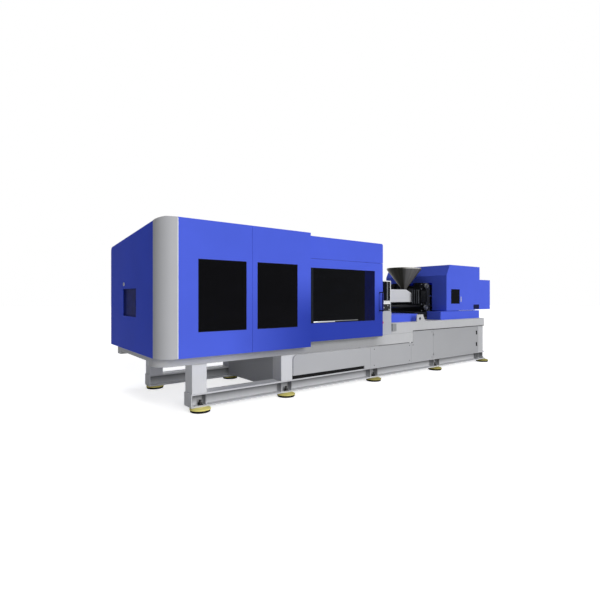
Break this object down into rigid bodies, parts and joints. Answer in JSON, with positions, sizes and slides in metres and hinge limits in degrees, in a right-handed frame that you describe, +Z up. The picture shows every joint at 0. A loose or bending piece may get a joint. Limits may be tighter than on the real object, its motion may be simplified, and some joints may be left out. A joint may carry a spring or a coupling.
{
  "type": "injection moulding machine",
  "caption": "Horizontal plastic injection moulding machine with electric toggle clamp, blue covers, sliding doors, hopper, injection unit and levelling feet.",
  "frame": {"origin": "on the floor, at the middle of the machine's length and width", "axes": "+X runs from the clamp end to the injection end, -Y faces the operator, +Z up"},
  "size_m": [7.593, 2.054, 2.178],
  "materials": {
    "machine_grey": "satin",
    "panel_grey": "satin",
    "control_grey": "satin",
    "cover_blue": "satin",
    "pillar_grey": "satin",
    "frame_dark": "matt",
    "plate_grey": "satin",
    "motor_black": "matt",
    "cap_yellow": "matt",
    "rubber_black": "matt",
    "window_dark": "clear",
    "platen_iron": "painted",
    "bar_chrome": "polished",
    "link_steel": "matt",
    "screw_steel": "ground",
    "band_steel": "rolled",
    "hopper_steel": "rolled",
    "latch_black": "matt",
    "screen_black": "gloss",
    "stop_red": "gloss"
  },
  "bodies": {
    "frame": {"base_beams": "machine_grey", "bed_legs": "panel_grey", "levelling_pads": "rubber_black", "levelling_caps": "cap_yellow", "clamp_bed": "machine_grey", "injection_bed": "machine_grey", "side_panels": "panel_grey", "cover_frame": "frame_dark", "end_cover": "cover_blue", "corner_pillar": "pillar_grey", "front_cover_left": "cover_blue", "front_cover_right": "cover_blue", "front_windows": "window_dark", "front_header": "cover_blue", "rear_covers": "cover_blue", "roof_cover": "panel_grey", "partition_cover": "panel_grey", "fixed_platen": "platen_iron", "tail_platen": "platen_iron", "tie_bars": "bar_chrome", "clamp_motor": "motor_black", "carriage_guides": "screw_steel", "way_covers": "panel_grey", "control_panel": "control_grey", "control_screen": "screen_black"},
    "movable_platen": {"movable_platen": "platen_iron"},
    "upper_rear_link": {"upper_rear_link": "link_steel"},
    "lower_rear_link": {"lower_rear_link": "link_steel"},
    "upper_front_link": {"upper_front_link": "link_steel"},
    "lower_front_link": {"lower_front_link": "link_steel"},
    "crosshead": {"crosshead": "link_steel"},
    "upper_crosshead_link": {"upper_crosshead_link": "link_steel"},
    "lower_crosshead_link": {"lower_crosshead_link": "link_steel"},
    "clamp_screw": {"clamp_screw": "screw_steel"},
    "ejector": {"ejector": "link_steel"},
    "front_door": {"front_door": "cover_blue", "front_door_window": "window_dark", "front_door_handle": "latch_black"},
    "rear_door": {"rear_door": "cover_blue", "rear_door_window": "window_dark"},
    "carriage": {"carriage_base": "machine_grey", "injection_front_plate": "plate_grey", "injection_rear_plate": "plate_grey", "barrel": "screw_steel", "heater_bands": "band_steel", "barrel_cover": "panel_grey", "hopper": "hopper_steel", "injection_cover": "cover_blue", "cover_window": "window_dark", "motor_cover": "cover_blue"},
    "pressure_plate": {"pressure_plate": "plate_grey"},
    "plasticising_screw": {"plasticising_screw": "screw_steel"},
    "injection_screw_front": {"injection_screw_front": "screw_steel"},
    "injection_screw_rear": {"injection_screw_rear": "screw_steel"},
    "cabinet_door": {"cabinet_door": "panel_grey"},
    "cabinet_latch_upper": {"cabinet_latch_upper": "latch_black"},
    "cabinet_latch_lower": {"cabinet_latch_lower": "latch_black"},
    "emergency_stop": {"emergency_stop": "stop_red"}
  },
  "joints": [
    {"name": "movable_platen_slide", "type": "slide", "parent": "frame", "child": "movable_platen", "axis": [-1, 0, 0], "range_m": [0, 0.65]},
    {"name": "upper_rear_link_pivot", "type": "hinge", "parent": "frame", "child": "upper_rear_link", "pos_m": [-2.4585, 0, 1.77], "axis": [0, 1, 0], "range_deg": [0, 115.81]},
    {"name": "lower_rear_link_pivot", "type": "hinge", "parent": "frame", "child": "lower_rear_link", "pos_m": [-2.4585, 0, 0.92], "axis": [0, -1, 0], "range_deg": [0, 115.81]},
    {"name": "upper_front_link_pivot", "type": "hinge", "parent": "movable_platen", "child": "upper_front_link", "pos_m": [-1.6385, 0, 1.77], "axis": [0, -1, 0], "range_deg": [0, 44.9]},
    {"name": "lower_front_link_pivot", "type": "hinge", "parent": "movable_platen", "child": "lower_front_link", "pos_m": [-1.6385, 0, 0.92], "axis": [0, 1, 0], "range_deg": [0, 44.9]},
    {"name": "crosshead_slide", "type": "slide", "parent": "frame", "child": "crosshead", "axis": [-1, 0, 0], "range_m": [0, 0.341]},
    {"name": "upper_crosshead_link_pivot", "type": "hinge", "parent": "crosshead", "child": "upper_crosshead_link", "pos_m": [-2.1485, 0, 1.5], "axis": [0, -1, 0], "range_deg": [0, 62.29]},
    {"name": "lower_crosshead_link_pivot", "type": "hinge", "parent": "crosshead", "child": "lower_crosshead_link", "pos_m": [-2.1485, 0, 1.19], "axis": [0, 1, 0], "range_deg": [0, 62.29]},
    {"name": "clamp_screw_spin", "type": "hinge", "parent": "frame", "child": "clamp_screw", "pos_m": [-2.4885, 0, 1.345], "axis": [1, 0, 0], "continuous": true},
    {"name": "ejector_slide", "type": "slide", "parent": "movable_platen", "child": "ejector", "axis": [1, 0, 0], "range_m": [0, 0.15]},
    {"name": "front_door_slide", "type": "slide", "parent": "frame", "child": "front_door", "axis": [-1, 0, 0], "range_m": [0, 1.25]},
    {"name": "rear_door_slide", "type": "slide", "parent": "frame", "child": "rear_door", "axis": [-1, 0, 0], "range_m": [0, 1.25]},
    {"name": "carriage_slide", "type": "slide", "parent": "frame", "child": "carriage", "axis": [1, 0, 0], "range_m": [0, 0.34]},
    {"name": "pressure_plate_slide", "type": "slide", "parent": "carriage", "child": "pressure_plate", "axis": [1, 0, 0], "range_m": [0, 0.28]},
    {"name": "plasticising_screw_spin", "type": "hinge", "parent": "pressure_plate", "child": "plasticising_screw", "pos_m": [0.8115, 0, 1.345], "axis": [1, 0, 0], "continuous": true},
    {"name": "injection_screw_front_spin", "type": "hinge", "parent": "carriage", "child": "injection_screw_front", "pos_m": [2.2115, -0.3, 1.345], "axis": [1, 0, 0], "continuous": true},
    {"name": "injection_screw_rear_spin", "type": "hinge", "parent": "carriage", "child": "injection_screw_rear", "pos_m": [2.2115, 0.3, 1.345], "axis": [1, 0, 0], "continuous": true},
    {"name": "cabinet_door_hinge", "type": "hinge", "parent": "frame", "child": "cabinet_door", "pos_m": [1.184, -0.8553, 0.475], "axis": [0, 0, -1], "range_deg": [0, 100]},
    {"name": "cabinet_latch_upper_turn", "type": "hinge", "parent": "cabinet_door", "child": "cabinet_latch_upper", "pos_m": [2.6115, -0.848, 0.613], "axis": [0, 1, 0], "range_deg": [0, 90]},
    {"name": "cabinet_latch_lower_turn", "type": "hinge", "parent": "cabinet_door", "child": "cabinet_latch_lower", "pos_m": [2.6115, -0.848, 0.383], "axis": [0, 1, 0], "range_deg": [0, 90]},
    {"name": "emergency_stop_press", "type": "slide", "parent": "frame", "child": "emergency_stop", "axis": [0, 1, 0], "range_m": [0, 0.006], "stiffness_N_per_m": 1000, "springref_m": -0.002}
  ],
  "couplings": [
    {"joint": "upper_rear_link_pivot", "follows": "movable_platen_slide", "rad_per_m": 3.107},
    {"joint": "lower_rear_link_pivot", "follows": "movable_platen_slide", "rad_per_m": 3.107},
    {"joint": "upper_front_link_pivot", "follows": "movable_platen_slide", "rad_per_m": 1.203},
    {"joint": "lower_front_link_pivot", "follows": "movable_platen_slide", "rad_per_m": 1.203},
    {"joint": "crosshead_slide", "follows": "movable_platen_slide", "ratio": 0.5231},
    {"joint": "upper_crosshead_link_pivot", "follows": "movable_platen_slide", "rad_per_m": 1.67},
    {"joint": "lower_crosshead_link_pivot", "follows": "movable_platen_slide", "rad_per_m": 1.67},
    {"joint": "clamp_screw_spin", "follows": "movable_platen_slide", "rad_per_m": 164.34},
    {"joint": "injection_screw_front_spin", "follows": "pressure_plate_slide", "rad_per_m": 314.16},
    {"joint": "injection_screw_rear_spin", "follows": "pressure_plate_slide", "rad_per_m": 314.16}
  ]
}
